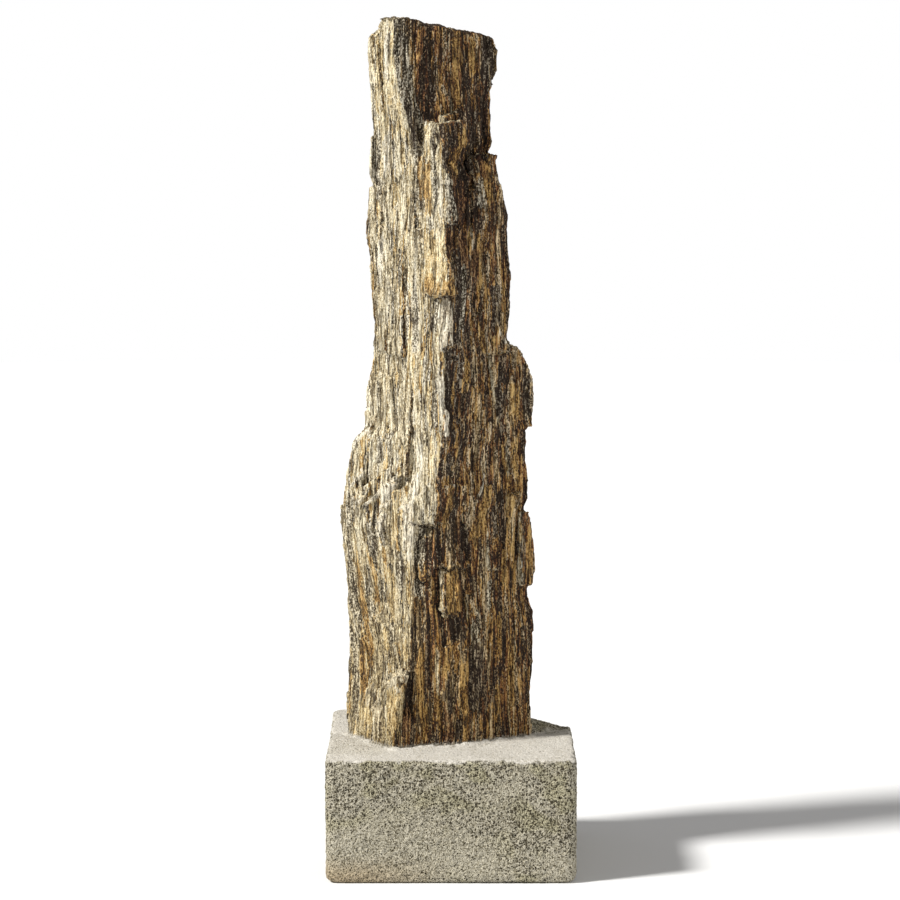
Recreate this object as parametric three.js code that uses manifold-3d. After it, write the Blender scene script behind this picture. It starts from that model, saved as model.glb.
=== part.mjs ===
// A split pillar of gneiss standing in a cast concrete foot.
// Millimetres, +Z up, +Y to the rear. The origin is on the ground, under the middle of the foot.
import * as THREE from "three";
import { mergeVertices } from "three/addons/utils/BufferGeometryUtils.js";
import Module from "manifold-3d";

const wasm = await Module();
wasm.setup();

// ---------------------------------------------------------------- driving dimensions

const FOOT = { width: 250, depth: 235, height: 125 };
const FOOT_CORNER_RADIUS = 9;
const FOOT_BOTTOM_ROUND = 8;
const FOOT_TOP_ROUND = 2.6;
const FOOT_WAVE = 0.9; // how far the hand-trowelled top wanders

const PILLAR_TOP = 858; // highest point of the broken top
const PILLAR_BOTTOM = 42; // the pillar's lower end, sunk in the foot
const SOCKET_GAP = 0.4; // kept all round between stone and mortar

const RIB_DEPTH = 2.4; // relief of the natural ribbing along the grain
const ROOT_DEPTH = 11; // how far a splinter's hidden root reaches into the core

// The pillar's edges from the ground up, as [height, x]. All bends and steps of the broken edges are here.
const LEFT_EDGE = [
  [0, -105], [187, -107], [200, -104], [263, -105], [321, -108], [354, -111], [386, -109],
  [408, -107], [430, -103], [446, -90], [494, -84], [503, -78], [570, -78], [605, -81], [661, -86],
  [692, -79], [698, -82], [736, -79], [784, -80], [808, -86], [900, -87],
];
const RIGHT_EDGE = [
  [0, 82], [194, 81], [204, 83], [250, 83], [260, 80], [292, 80], [426, 75], [466, 69], [500, 62],
  [530, 57], [594, 58], [660, 56], [684, 50], [720, 42], [723, 37], [746, 38], [784, 36],
  [803, 45], [823, 47], [838, 43], [900, 40],
];
// The arris between the lit and the shaded side, and the blunt nose that the shaded side bends at.
const ARRIS_EDGE = [
  [0, -50], [127, -50], [177, -48], [216, -42], [250, -40], [352, -38],
  [450, -34], [600, -29], [713, -30], [738, -37], [783, -50], [815, -57], [900, -58],
];
const NOSE_EDGE = [[0, 12], [127, 12], [250, 6], [340, 2], [354, -4], [600, 0], [743, -6], [858, -14]];
const REAR_RIGHT_EDGE = [[0, 46], [858, 27]];
const REAR_LEFT_EDGE = [[0, -47], [858, -42]];
// How far back each of those edges stands, as [height, y].
const LEFT_DEPTH = [[0, 10], [127, 10], [300, 16], [858, -8]];
const ARRIS_DEPTH = [[0, -60], [127, -60], [250, -50], [352, -39], [600, -36], [743, -42], [858, -45]];
const NOSE_DEPTH = [
  [0, -41], [127, -41], [250, -33], [340, -30], [354, -38], [600, -28], [743, -28], [858, -22],
];
const RIGHT_DEPTH = [[0, -2], [858, 15]];
const REAR_RIGHT_DEPTH = [[0, 84], [858, 60]];
const REAR_LEFT_DEPTH = [[0, 94], [858, 50]];
// The wedge of stone that carries the lit side on past the arris, over the middle heights.
const WEDGE_SIDE = [[340, -44], [590, -34], [700, -32], [722, -28], [770, -26]];
const WEDGE_EDGE = [
  [412, -15], [445, -8], [529, -4], [611, -3], [640, -7], [668, -3], [697, 1], [726, -8], [770, -16],
];
const WEDGE_DEPTH = [[340, -54], [445, -57], [697, -54], [770, -53]];
const WEDGE_FLANK = 22; // how far to the right of its edge it meets the shaded side
const WEDGE_LIP = 2.2; // how far its near side stands proud of the core

// ---------------------------------------------------------------- numbers

const clamp01 = (t) => Math.min(1, Math.max(0, t));
const mix = (a, b, t) => a + (b - a) * t;
const smooth = (from, to, v) => {
  const t = clamp01((v - from) / (to - from));
  return t * t * (3 - 2 * t);
};

// A repeatable number from 0 to 1 for any pair of whole numbers and a seed.
function hash(i, j, seed) {
  const s = Math.sin(i * 127.1 + j * 311.7 + seed * 74.7) * 43758.5453;
  return s - Math.floor(s);
}

// Smooth noise from -1 to 1 on a plane.
function noise(x, y, seed) {
  const i = Math.floor(x);
  const j = Math.floor(y);
  const u = smooth(0, 1, x - i);
  const v = smooth(0, 1, y - j);
  const low = mix(hash(i, j, seed), hash(i + 1, j, seed), u);
  const high = mix(hash(i, j + 1, seed), hash(i + 1, j + 1, seed), u);
  return mix(low, high, v) * 2 - 1;
}

// The value of an outline of [height, value] points at a height.
function along(outline, z) {
  const next = outline.findIndex(([height]) => height >= z);
  if (next < 0) return outline.at(-1)[1];
  if (next === 0) return outline[0][1];
  const [z0, a] = outline[next - 1];
  const [z1, b] = outline[next];
  return mix(a, b, (z - z0) / (z1 - z0));
}

// ---------------------------------------------------------------- solids

// A closed three.js geometry as a manifold solid.
function solid(geometry) {
  const bare = geometry.clone();
  bare.deleteAttribute("normal");
  bare.deleteAttribute("uv");
  const merged = mergeVertices(bare, 1e-4);
  return new wasm.Manifold(
    new wasm.Mesh({
      numProp: 3,
      vertProperties: merged.attributes.position.array,
      triVerts: new Uint32Array(merged.index.array),
    }),
  );
}

// A manifold solid as a three.js geometry.
function geometryOf(made) {
  const mesh = made.getMesh();
  const geometry = new THREE.BufferGeometry();
  geometry.setAttribute("position", new THREE.BufferAttribute(mesh.vertProperties, 3));
  geometry.setIndex(new THREE.BufferAttribute(mesh.triVerts, 1));
  geometry.computeVertexNormals();
  return geometry;
}

// A box of the given divisions. Each of its points is moved by place(a, b, c), with a, b and c from 0 to 1.
function shapedBox(divisions, place) {
  const box = new THREE.BoxGeometry(1, 1, 1, ...divisions);
  const position = box.attributes.position;
  const point = new THREE.Vector3();
  for (let i = 0; i < position.count; i++) {
    point.fromBufferAttribute(position, i).addScalar(0.5);
    position.setXYZ(i, ...place(point.x, point.y, point.z));
  }
  return solid(box);
}

// ---------------------------------------------------------------- the pillar's section

// The edges that run up the pillar, in order round it as seen from above.
const EDGES = [
  [LEFT_EDGE, LEFT_DEPTH],
  [ARRIS_EDGE, ARRIS_DEPTH],
  [NOSE_EDGE, NOSE_DEPTH],
  [RIGHT_EDGE, RIGHT_DEPTH],
  [REAR_RIGHT_EDGE, REAR_RIGHT_DEPTH],
  [REAR_LEFT_EDGE, REAR_LEFT_DEPTH],
];
const corner = (edge, z) => new THREE.Vector2(along(EDGES[edge][0], z), along(EDGES[edge][1], z));

// How far forward the core's front is at a place across it.
function frontSkin(x, z) {
  return along([0, 1, 2, 3].map((edge) => corner(edge, z).toArray()), x);
}

// The faces between those edges, each named by its first one, and the core's facets across each.
const FACES = { lit: 0, front: 1, shaded: 2, right: 3, rear: 4, rearLeft: 5 };
const FACETS = [10, 4, 8, 6, 7, 6];

// A face at a height: its first corner, its direction, its length and its outward normal.
function faceAt(face, z) {
  const start = corner(face, z);
  const run = corner((face + 1) % EDGES.length, z).sub(start);
  const length = run.length();
  const direction = run.divideScalar(length);
  return { start, direction, length, normal: new THREE.Vector2(direction.y, -direction.x) };
}

// The ribs and hollows that run up each face with the grain, in millimetres from the flat face.
function rib(face, across, z) {
  const seed = 10 * face;
  const drift = 5 * noise(z / 190, face, 3);
  const coarse = noise((across + drift) / 23, z / 170, seed + 1);
  const fine = noise((across + drift) / 8.5, z / 95, seed + 2);
  return RIB_DEPTH * (0.55 * coarse + 0.6 * fine);
}

// The height of the broken top over a point of the plan: it falls to the right and steps down at the left.
function brokenTop(x, y) {
  const fall = 0.17 * Math.max(0, x + 40) + 0.1 * Math.max(0, y);
  const leftStep = 17 * smooth(-74, -81, x);
  return PILLAR_TOP - 2 - fall - leftStep + 2 * noise(x / 11, y / 11, 5);
}

// ---------------------------------------------------------------- the pillar

// Heights of the core's rings, close together where an edge steps.
const RING_HEIGHTS = [
  90, 128, 165, 204, 236, 270, 300, 354, 386, 408, 430, 446, 470, 494, 503, 530, 565,
  600, 640, 680, 720, 723, 750, 784, 803, 824,
];

// The main body of the pillar, grown outwards by a margin.
function core(margin) {
  const ring = (z, top) => {
    const points = [];
    FACETS.forEach((count, face) => {
      const { start, direction, length, normal } = faceAt(face, z);
      for (let k = 0; k < count; k++) {
        const across = (length * k) / count;
        const out = (k === 0 ? 0 : rib(face, across, z)) + margin;
        const slide = k === 0 ? -margin : 0; // a corner grows both ways
        const x = start.x + direction.x * (across + slide) + normal.x * out;
        const y = start.y + direction.y * (across + slide) + normal.y * out;
        points.push(new THREE.Vector3(x, y, top ? brokenTop(x, y) : z));
      }
    });
    return points;
  };
  const rings = [ring(PILLAR_BOTTOM - margin, false)];
  RING_HEIGHTS.forEach((z) => rings.push(ring(z, false)));
  rings.push(ring(PILLAR_TOP, true));

  const around = rings[0].length;
  const points = rings.flat();
  const faces = [];
  const middle = (loop) => loop.reduce((sum, p) => sum.add(p), new THREE.Vector3()).divideScalar(loop.length);
  for (let r = 0; r + 1 < rings.length; r++) {
    for (let k = 0; k < around; k++) {
      const a = r * around + k;
      const b = r * around + ((k + 1) % around);
      faces.push(a, b, b + around, a, b + around, a + around);
    }
  }
  // The lower end is a flat fan. The top has a rough inner ring, then a fan.
  const bottomCentre = points.push(middle(rings[0])) - 1;
  for (let k = 0; k < around; k++) faces.push(bottomCentre, (k + 1) % around, k);
  const rim = rings.at(-1);
  const rimCentre = middle(rim);
  const innerStart = points.length;
  rim.forEach((p, k) => {
    const inner = p.clone().lerp(rimCentre, 0.4);
    inner.z = brokenTop(inner.x, inner.y) + 3 * noise(k / 3, 1, 8);
    points.push(inner);
  });
  const topCentre = points.push(rimCentre.setZ(brokenTop(rimCentre.x, rimCentre.y) - 1)) - 1;
  for (let k = 0; k < around; k++) {
    const a = (rings.length - 1) * around + k;
    const b = (rings.length - 1) * around + ((k + 1) % around);
    const c = innerStart + k;
    const d = innerStart + ((k + 1) % around);
    faces.push(a, b, d, a, d, c, c, d, topCentre);
  }
  const geometry = new THREE.BufferGeometry().setFromPoints(points);
  geometry.setIndex(faces);
  return solid(geometry);
}

// A splinter of stone that stands proud of one face, split off square or slanting at one end or both.
//   across   distance of its middle from the face's first corner, as a share of the face's length
//   width    its width; it narrows towards a feathered end
//   stand    how far it stands out
//   bottom, top   its heights; slant lifts its far edge over its near one, at the split end
//   feather  the end that runs out flush with the face: "top", "bottom" or none
//   belly    how much less it stands out at both ends than at its middle, as a share
function splinter(margin, shape, seed) {
  const { face, across, width, stand, bottom, top, slant = 0, feather, belly = 0, small } = shape;
  const divisions = small ? [1, 1, 3] : [2, 1, 4];
  return shapedBox(divisions, (a, b, c) => {
    const share = feather === "top" ? c : feather === "bottom" ? 1 - c : 0;
    const cross = Math.round(a * divisions[0]);
    const level = Math.round(c * divisions[2]);
    const jag = (hash(cross, level, seed) - 0.5) * (small ? 7 : 5);
    const endShare = Math.abs(2 * c - 1);
    const height = mix(bottom - margin, top + margin, c) + (slant * (a - 0.5) + jag) * endShare;
    const { start, direction, length, normal } = faceAt(face, height);
    const narrowed = width * mix(1, 0.45, share);
    const wobble = 1.6 * (hash(level, cross, seed + 5) - 0.5);
    const s = across * length + (a - 0.5) * (narrowed + 2 * margin) + wobble;
    const full = stand * (1 - belly * endShare ** 3);
    const proud = mix(full, -1.6, share ** 1.4) + 0.9 * (hash(cross, level, seed + 9) - 0.5);
    const onFace = rib(face, across * length, (bottom + top) / 2) * 0.6;
    const out = b < 0.5 ? onFace + proud + margin : -ROOT_DEPTH; // b runs inwards, from skin to root
    return [start.x + direction.x * s + normal.x * out, start.y + direction.y * s + normal.y * out, height];
  });
}

// The wedge over the arris: its skin runs from the lit side out to its own edge, then back down its flank.
function wedge(margin, { bottom, top, stand, seed }) {
  const levels = 6;
  return shapedBox([2, 1, levels], (a, b, c) => {
    const level = Math.round(c * levels);
    const jag = 7 * (hash(Math.round(2 * a), level, seed) - 0.5) * Math.abs(2 * c - 1);
    const z = mix(bottom - margin, top + margin, c) + jag;
    const ripple = 1.5 * (hash(level, 3, seed) - 0.5);
    const side = along(WEDGE_SIDE, z);
    const edge = along(WEDGE_EDGE, z);
    const depth = along(WEDGE_DEPTH, z) - stand - ripple;
    const skin = [
      [side - margin, frontSkin(side, z) - WEDGE_LIP - margin],
      [edge, depth - 1.4 * margin],
      [edge + WEDGE_FLANK + ripple + margin, depth + WEDGE_FLANK],
    ][Math.round(2 * a)];
    const root = [mix(-24, 10, a), -8];
    return b < 0.5 ? [...skin, z] : [...root, z];
  });
}
const WEDGES = [
  { bottom: 353, top: 600, stand: 0, seed: 41 },
  { bottom: 582, top: 755, stand: 4, seed: 42 },
];

// The splinters that give the pillar its ledges, by face.
const LEDGES = {
  // the lit side, on the left: long flakes above, slanting slabs below, and the block that enters the foot
  lit: [
    { across: 0.1, width: 20, stand: 3, bottom: 500, top: 690, feather: "bottom" },
    { across: 0.5, width: 22, stand: 2.6, bottom: 520, top: 700, feather: "top" },
    { across: 0.76, width: 22, stand: 4.5, bottom: 400, top: 520, slant: -6, feather: "top" },
    { across: 0.2, width: 34, stand: 5, bottom: 236, top: 372, slant: 20, feather: "bottom" },
    { across: 0.48, width: 34, stand: 7, bottom: 250, top: 395, slant: 24, feather: "bottom" },
    { across: 0.82, width: 28, stand: 5, bottom: 262, top: 384, slant: 18, feather: "bottom" },
    { across: 0.68, width: 54, stand: 7, bottom: 74, top: 186, slant: 40 },
  ],
  // the narrow front, below the wedge
  front: [
    { across: 0.35, width: 14, stand: 4, bottom: 296, top: 340, slant: 10 },
    { across: 0.86, width: 17, stand: 5.5, bottom: 256, top: 304, belly: 0.4 },
    { across: 0.7, width: 15, stand: 3, bottom: 138, top: 226, feather: "bottom" },
  ],
  // the shaded side, on the right: the broken slabs below the head, then the flakes further down
  shaded: [
    { across: 0.1, width: 24, stand: 6, bottom: 660, top: 764, slant: 8, feather: "bottom" },
    { across: 0.76, width: 40, stand: 5.5, bottom: 590, top: 721, feather: "bottom" },
    { across: 0.5, width: 24, stand: 4.5, bottom: 560, top: 686, slant: -9, feather: "bottom" },
    { across: 0.26, width: 13, stand: 3.5, bottom: 130, top: 243, slant: -8, feather: "bottom" },
    { across: 0.12, width: 14, stand: 4.5, bottom: 430, top: 520, slant: -18, feather: "bottom" },
    { across: 0.1, width: 14, stand: 4, bottom: 306, top: 392, feather: "bottom" },
    { across: 0.24, width: 12, stand: 4.5, bottom: 346, top: 440, feather: "top" },
    { across: 0.55, width: 18, stand: 4, bottom: 300, top: 440, feather: "top" },
    { across: 0.78, width: 24, stand: 4, bottom: 384, top: 520, feather: "bottom" },
    { across: 0.42, width: 18, stand: 4, bottom: 430, top: 560, slant: 9, feather: "bottom" },
    { across: 0.84, width: 20, stand: 3.5, bottom: 160, top: 280, feather: "top" },
  ],
  // the right-hand side, whose slabs step the outline
  right: [
    { across: 0.3, width: 46, stand: 17, bottom: 444, top: 529, belly: 0.5 },
    { across: 0.12, width: 34, stand: 5, bottom: 282, top: 360, belly: 0.6 },
    { across: 0.66, width: 34, stand: 6, bottom: 330, top: 480, feather: "bottom" },
    { across: 0.6, width: 30, stand: 6, bottom: 130, top: 262, slant: 12, feather: "bottom" },
    { across: 0.6, width: 24, stand: 5, bottom: 640, top: 790, feather: "top" },
  ],
  // the rear faces
  rear: [
    { across: 0.3, width: 42, stand: 11, bottom: 80, top: 470, slant: 26, feather: "bottom" },
    { across: 0.75, width: 32, stand: 8, bottom: 420, top: 660, slant: -18, feather: "top" },
    { across: 0.3, width: 28, stand: 7, bottom: 560, top: 752, slant: 14, feather: "bottom" },
    { across: 0.8, width: 30, stand: 7, bottom: 170, top: 340, slant: 12, feather: "bottom" },
  ],
  rearLeft: [
    { across: 0.35, width: 38, stand: 10, bottom: 180, top: 446, slant: 26, feather: "bottom" },
    { across: 0.7, width: 30, stand: 7, bottom: 470, top: 650, slant: -14, feather: "top" },
    { across: 0.4, width: 26, stand: 6, bottom: 620, top: 790, slant: 12, feather: "bottom" },
    { across: 0.75, width: 28, stand: 7, bottom: 70, top: 262, slant: 20 },
  ],
};
const ledges = Object.entries(LEDGES).flatMap(([name, shapes]) =>
  shapes.map((shape) => ({ ...shape, face: FACES[name] })),
);

// Small splinters between the ledges: a loop up each face, each one placed, sized and ended by its number.
const SMALL_ROWS = 5;
const SMALL_COLUMNS = [2, 0, 2, 1, 2, 1];
function smallSplinters() {
  const made = [];
  SMALL_COLUMNS.forEach((columns, face) => {
    for (let row = 0; row < SMALL_ROWS; row++) {
      for (let column = 0; column < columns; column++) {
        const seed = 100 + 31 * face + 7 * row + column;
        const pick = (n) => hash(n, seed, 4);
        const bottom = 150 + 118 * (row + 0.8 * pick(1));
        made.push({
          face,
          across: (column + 0.25 + 0.5 * pick(2)) / columns,
          width: 8 + 7 * pick(3),
          stand: 1.4 + 1.8 * pick(4),
          bottom,
          top: bottom + 50 + 90 * pick(5),
          slant: 14 * (pick(6) - 0.5),
          feather: pick(7) < 0.6 ? "bottom" : "top",
          small: true,
        });
      }
    }
  });
  return made;
}

// The whole stone. Sealed gaps between splinters are filled: only the outer skin is kept.
function pillarSolid(margin) {
  const splinters = [...ledges, ...smallSplinters()].map((shape, i) => splinter(margin, shape, i));
  const wedges = WEDGES.map((shape) => wedge(margin, shape));
  const joined = [...wedges, ...splinters].reduce((body, added) => body.add(added), core(margin));
  const skins = joined.decompose();
  return skins.reduce((largest, skin) => (skin.volume() > largest.volume() ? skin : largest));
}

// ---------------------------------------------------------------- the foot

// Height of the trowelled top: level in front, a shelf at the rear left, and a heap of mortar behind the
// pillar at the rear right that slumps to the rear edge.
const FOLD_Y = 26; // the crease between the level front and the rear
const CREST_Y = 45;
function footTop(x, y) {
  const rise = smooth(FOLD_Y - 2, FOLD_Y + 8, y);
  const shelf = rise * (1.6 + 4 * smooth(FOLD_Y, FOOT.depth / 2, y));
  const crest = mix(12.5, 2, clamp01((x - 84) / 28));
  const backFall = clamp01((y - CREST_Y) / (FOOT.depth / 2 - CREST_Y));
  const heap = y < CREST_Y ? crest * smooth(FOLD_Y, CREST_Y, y) : crest - (crest + 15) * backFall;
  const crease = -1.4 * Math.exp(-(((y - FOLD_Y) / 5) ** 2));
  const wave = FOOT_WAVE * noise(x / 34, y / 30, 21);
  return FOOT.height + mix(shelf, heap, smooth(-60, 60, x)) + crease + wave;
}

// Shares of the foot's width, depth and height where its grid lines lie, closer near the rounded edges.
const PLAN_LINES = [0, 0.012, 0.036, 0.13, 0.25, 0.38, 0.5, 0.61, 0.71, 0.82, 0.9, 0.964, 0.988, 1];
const HEIGHT_LINES = [0, 0.024, 0.07, 0.5, 0.9, 0.985, 1];

function footBlock() {
  const lines = [PLAN_LINES.length - 1, PLAN_LINES.length - 1, HEIGHT_LINES.length - 1];
  return shapedBox(lines, (a, b, c) => {
    const up = HEIGHT_LINES[Math.round(c * lines[2])];
    const fromBottom = up * FOOT.height;
    const fromTop = FOOT.height - fromBottom;
    const round = (near, radius) => radius - Math.sqrt(radius ** 2 - Math.max(0, radius - near) ** 2);
    const inset = 0.6 * round(fromBottom, FOOT_BOTTOM_ROUND) + round(fromTop, FOOT_TOP_ROUND);
    const point = new THREE.Vector2(
      (PLAN_LINES[Math.round(a * lines[0])] - 0.5) * (FOOT.width - 2 * inset),
      (PLAN_LINES[Math.round(b * lines[1])] - 0.5) * (FOOT.depth - 2 * inset),
    );
    // Points past the centre of a rounded corner are drawn in to its arc.
    const reach = FOOT_CORNER_RADIUS;
    const centreX = FOOT.width / 2 - inset - reach;
    const centreY = FOOT.depth / 2 - inset - reach;
    const past = new THREE.Vector2(Math.abs(point.x) - centreX, Math.abs(point.y) - centreY);
    if (past.x > 0 && past.y > 0) {
      past.setLength(Math.max(past.x, past.y));
      point.set(Math.sign(point.x) * (centreX + past.x), Math.sign(point.y) * (centreY + past.y));
    }
    const lift = footTop(point.x, point.y) - FOOT.height;
    return [point.x, point.y, fromBottom + lift * smooth(0.35, 1, up)];
  });
}

// ---------------------------------------------------------------- the object

function piece(name, made, colour) {
  const material = new THREE.MeshStandardMaterial({ color: colour, roughness: 0.95, metalness: 0 });
  const mesh = new THREE.Mesh(geometryOf(made), material);
  mesh.name = name;
  return mesh;
}

const object = new THREE.Group();
object.add(piece("gneiss_pillar", pillarSolid(0), 0x9a8763));
object.add(piece("concrete_foot", footBlock().subtract(pillarSolid(SOCKET_GAP)), 0xb5ae9b));

export default object;
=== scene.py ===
import math

import bmesh
import bpy
import numpy as np
from mathutils import Matrix, Vector
from mathutils.bvhtree import BVHTree


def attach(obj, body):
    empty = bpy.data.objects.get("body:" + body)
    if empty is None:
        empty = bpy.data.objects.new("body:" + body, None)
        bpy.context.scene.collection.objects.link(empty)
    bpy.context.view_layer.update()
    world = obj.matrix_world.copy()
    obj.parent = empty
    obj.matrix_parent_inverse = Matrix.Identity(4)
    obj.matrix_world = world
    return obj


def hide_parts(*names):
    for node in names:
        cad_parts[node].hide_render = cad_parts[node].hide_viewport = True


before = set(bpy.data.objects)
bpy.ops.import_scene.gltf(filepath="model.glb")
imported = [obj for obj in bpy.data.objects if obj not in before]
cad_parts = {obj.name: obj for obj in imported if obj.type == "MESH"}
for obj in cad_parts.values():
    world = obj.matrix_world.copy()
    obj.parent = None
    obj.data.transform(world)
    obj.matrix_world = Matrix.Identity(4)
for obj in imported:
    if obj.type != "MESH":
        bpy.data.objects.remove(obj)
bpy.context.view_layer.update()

# A split pillar of gneiss in a cast concrete foot, standing on a pale studio floor.
# The scene is in metres. Places on the object, its grain, pores and splinters are given in millimetres.

MM = 0.001
MOST_TRIANGLES = 196000  # for one piece
TALL = 1e9  # cells of this size have no ends along the grain


# ------------------------------------------------------------------ fields over space, in numpy


def scrambled(cells, seed):
    """A repeatable number from 0 to 1 for each row of whole-number cells."""
    x, y, z = (cells[:, i].astype(np.uint32) for i in range(3))
    h = x * np.uint32(374761393) + y * np.uint32(668265263) + z * np.uint32(2246822519)
    h += np.uint32(seed * 40503 + 17)
    h = (h ^ (h >> np.uint32(15))) * np.uint32(2246822519)
    h = (h ^ (h >> np.uint32(13))) * np.uint32(3266489917)
    return ((h ^ (h >> np.uint32(16))) & np.uint32(0xFFFFFF)).astype(np.float64) / 0xFFFFFF


def noise(points, size, seed):
    """Smooth noise from -1 to 1. Its grain has the given size, one number or one each along x, y and z."""
    scaled = points / np.array(size, float)
    low = np.floor(scaled).astype(np.int64)
    t = scaled - low
    t = t * t * (3 - 2 * t)
    total = np.zeros(len(points))
    for corner in np.ndindex(2, 2, 2):
        share = np.prod(np.where(np.array(corner) == 1, t, 1 - t), axis=1)
        total += share * scrambled(low + np.array(corner), seed)
    return total * 2 - 1


def cells(points, size, seed):
    """Space broken into irregular cells of the given size. For each point, gives its cell's number from 0
    to 1, the distance to the cell's seed and how much further the next seed is, as shares of a cell, and the
    way from the seed to the point in millimetres."""
    size = np.array(size, float)
    scaled = points / size
    low = np.floor(scaled).astype(np.int64)
    nearest = np.full(len(points), 9.0)
    second = np.full(len(points), 9.0)
    value = np.zeros(len(points))
    way = np.zeros((len(points), 3))
    for offset in np.ndindex(3, 3, 3):
        cell = low + np.array(offset) - 1
        place = np.stack([scrambled(cell, seed + k) for k in (1, 2, 3)], axis=1)
        step = scaled - cell - place
        distance = np.linalg.norm(step, axis=1)
        closer = distance < nearest
        second = np.where(closer, nearest, np.minimum(second, distance))
        value = np.where(closer, scrambled(cell, seed), value)
        way = np.where(closer[:, None], step * size, way)
        nearest = np.where(closer, distance, nearest)
    return value, nearest, second - nearest, way


def splinters(points, width, length, seed):
    """Upright columns of stone, each broken across into splinters whose ends slant. A splinter stands out by
    its own share from 0 to 1, most at one end, and thins out towards the other. Also gives 1 in the grooves
    between the columns, which come and go on their way up."""
    column, _, gap, way = cells(points, (width, width, TALL), seed)
    slope = 2.4 * (scrambled(number(column, 1), seed + 5) - 0.5)
    run = (points[:, 2] + slope * way[:, 0]) / length + 9 * column
    splinter = np.floor(run)
    stand = scrambled(number(column, splinter), seed + 6)
    along = run - splinter
    along = np.where(scrambled(number(column, splinter), seed + 7) < 0.62, along, 1 - along)
    open_share = smooth(-0.5, 0.3, noise(points, (width, width, 0.7 * length), seed + 8))
    groove = smooth(0.26, 0.02, gap) * open_share
    return stand * (0.25 + 0.75 * along**0.7), groove


def number(share, other):
    """A row of whole numbers for each share from 0 to 1, so that it can be scrambled again."""
    return np.stack([np.floor(share * 1e6), share * 0 + other, share * 0 + 7], axis=1).astype(np.int64)


def smooth(low, high, values):
    """0 at low, 1 at high and smooth between. Low may be above high."""
    t = np.clip((values - low) / (high - low), 0, 1)
    return t * t * (3 - 2 * t)


# ------------------------------------------------------------------ meshes


def merged_copy(node, name):
    """A piece of its own with the shape of a CAD node, its triangles joined into one skin."""
    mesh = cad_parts[node].data.copy()
    mesh.name = name
    mesh.materials.clear()
    bm = bmesh.new()
    bm.from_mesh(mesh)
    bmesh.ops.remove_doubles(bm, verts=bm.verts, dist=1e-6)
    bm.to_mesh(mesh)
    bm.free()
    piece = bpy.data.objects.new(name, mesh)
    bpy.context.scene.collection.objects.link(piece)
    return piece


def apply_modifiers(piece):
    """Bakes the piece's modifiers into its mesh."""
    depsgraph = bpy.context.evaluated_depsgraph_get()
    mesh = bpy.data.meshes.new_from_object(piece.evaluated_get(depsgraph), depsgraph=depsgraph)
    piece.modifiers.clear()
    piece.data = mesh


def remesh(piece, across, along):
    """Gives the piece an even skin with faces `across` wide and `along` high, in metres."""
    squeeze = across / along
    piece.data.transform(scaling(squeeze))
    skin = piece.modifiers.new("skin", "REMESH")
    skin.mode = "VOXEL"
    skin.voxel_size = across
    apply_modifiers(piece)
    piece.data.transform(scaling(1 / squeeze))


def scaling(z):
    return Matrix.Diagonal((1, 1, z, 1))


def thin_out(piece):
    """Drops the triangles that the shape needs least, down to MOST_TRIANGLES."""
    piece.data.calc_loop_triangles()
    count = len(piece.data.loop_triangles)
    if count > MOST_TRIANGLES:
        fewer = piece.modifiers.new("fewer", "DECIMATE")
        fewer.ratio = MOST_TRIANGLES / count
        apply_modifiers(piece)


def points_of(piece):
    """The piece's points in millimetres, and the directions they face."""
    count = len(piece.data.vertices)
    points = np.empty(count * 3)
    facing = np.empty(count * 3)
    piece.data.vertices.foreach_get("co", points)
    piece.data.vertices.foreach_get("normal", facing)
    return points.reshape(-1, 3) / MM, facing.reshape(-1, 3)


def move_points(piece, points):
    piece.data.vertices.foreach_set("co", (points * MM).ravel())
    piece.data.update()


def store(piece, name, values):
    attribute = piece.data.attributes.new(name, "FLOAT", "POINT")
    attribute.data.foreach_set("value", values.astype(np.float32))
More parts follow.
